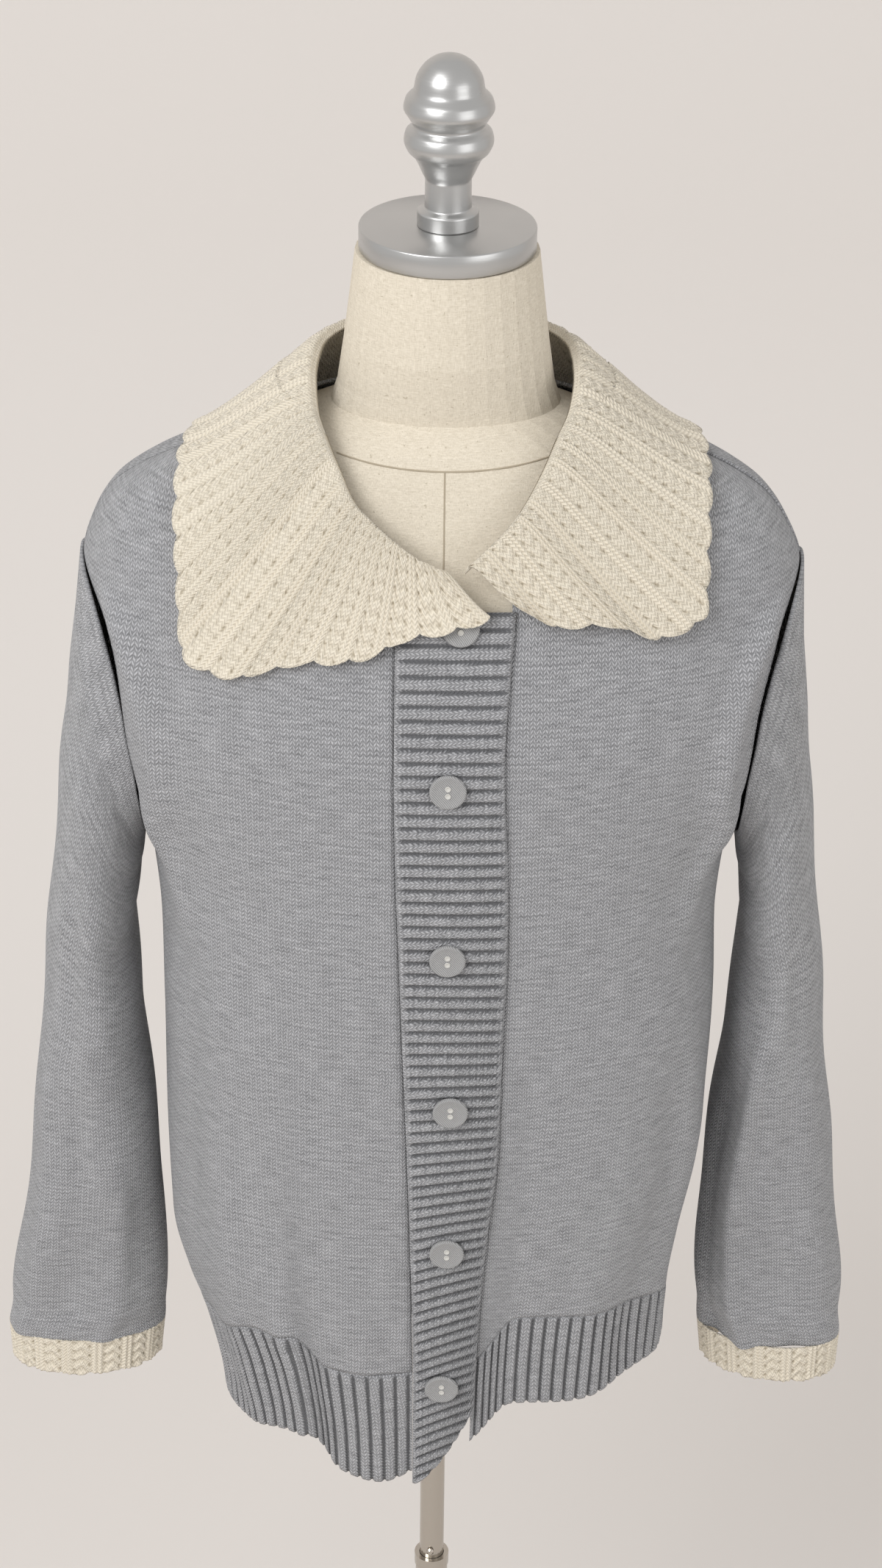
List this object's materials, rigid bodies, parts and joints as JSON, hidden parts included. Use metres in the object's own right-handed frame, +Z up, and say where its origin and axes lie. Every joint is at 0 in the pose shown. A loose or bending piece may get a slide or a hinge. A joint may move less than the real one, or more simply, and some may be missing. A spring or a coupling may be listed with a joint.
{
  "type": "knitted cardigan on a limbless dress form",
  "caption": "Button-front knitted cardigan with a wide scalloped lace-knit collar, worn by a limbless dress form on a telescoping pole and round foot.",
  "frame": {"origin": "centre of the foot, on the floor under the pole", "axes": "+Z up along the pole; -Y is the front; +X is the left side of the wearer"},
  "size_m": [0.552, 0.33, 1.5381],
  "materials": {
    "grey_knit": "fine plain knit in mixed greys",
    "cream_knit": "lace knit, matt",
    "button_cloth": "twill-covered, matt",
    "linen": "plain weave, matt",
    "brushed_aluminium": "brushed, polished edges",
    "nickel": "polished nickel",
    "base_metal": "satin"
  },
  "bodies": {
    "root": {"back": "grey_knit", "front_right": "grey_knit", "front_left": "grey_knit", "hem_back": "grey_knit", "hem_front_right": "grey_knit", "hem_front_left": "grey_knit", "button_band": "grey_knit", "under_band": "grey_knit", "sleeve_right": "grey_knit", "sleeve_left": "grey_knit", "collar": "cream_knit", "cuff_right": "cream_knit", "cuff_left": "cream_knit", "button_1": "button_cloth", "button_2": "button_cloth", "button_3": "button_cloth", "button_4": "button_cloth", "button_5": "button_cloth", "button_6": "button_cloth", "form_torso": "linen", "neck_cap": "brushed_aluminium", "finial": "brushed_aluminium", "upper_pole": "nickel", "lower_pole": "nickel", "pole_collar": "nickel", "spring_button": "nickel", "base_plate": "base_metal", "base_socket": "base_metal"}
  },
  "joints": []
}
